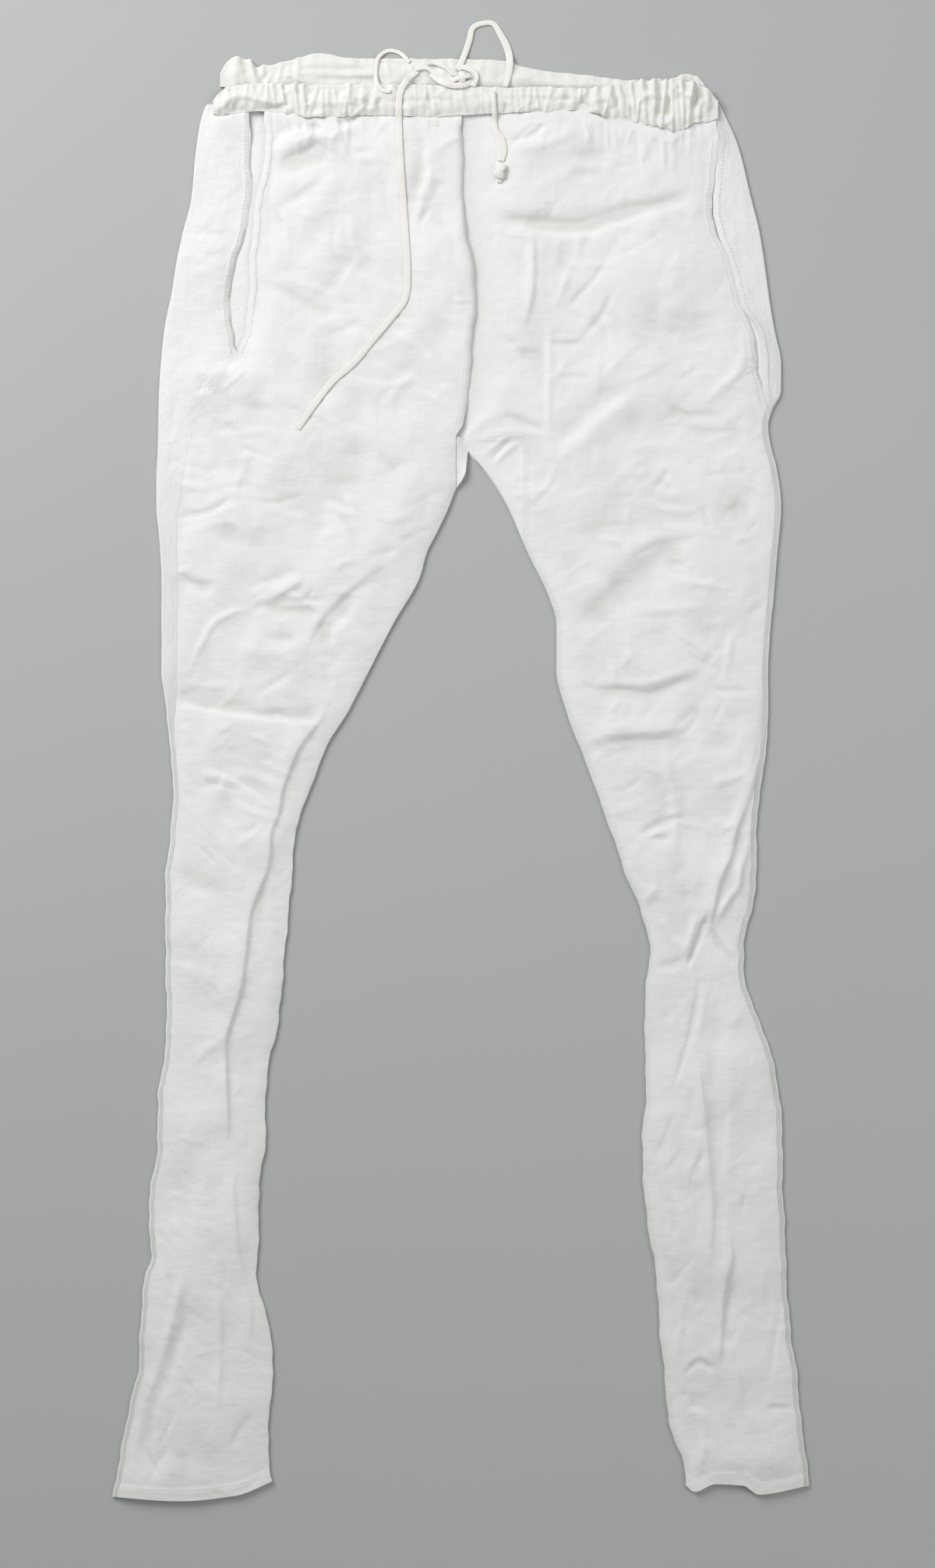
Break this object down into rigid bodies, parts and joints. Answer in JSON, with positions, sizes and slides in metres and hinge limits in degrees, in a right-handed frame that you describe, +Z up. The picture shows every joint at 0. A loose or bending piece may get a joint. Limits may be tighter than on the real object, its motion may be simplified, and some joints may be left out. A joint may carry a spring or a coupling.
{
  "type": "linen trousers",
  "caption": "Linen drawstring trousers with long narrow legs, a gathered waist casing and open side slits, laid flat with the front up.",
  "frame": {"origin": "centre of the cloth's bounding box, on the surface it lies on", "axes": "+Y towards the waist, +Z up out of the surface with the front side up, +X towards the wearer's left"},
  "size_m": [0.5358, 1.139, 0.0163],
  "materials": {
    "linen": "matt plain-woven linen, white, softly creased",
    "casing_linen": "matt plain-woven linen, ivory white, gathered",
    "tape": "matt woven tape, ivory"
  },
  "bodies": {
    "root": {"back_right": "linen", "back_left": "linen", "front_right": "linen", "front_left": "linen", "gusset": "linen", "casing_back": "casing_linen", "casing_front_right": "casing_linen", "casing_front_left": "casing_linen", "drawstring_knot": "tape", "drawstring_long_end": "tape", "drawstring_short_end": "tape", "drawstring_tip_knot": "tape", "drawstring_small_loop": "tape", "drawstring_large_loop": "tape"}
  },
  "joints": []
}
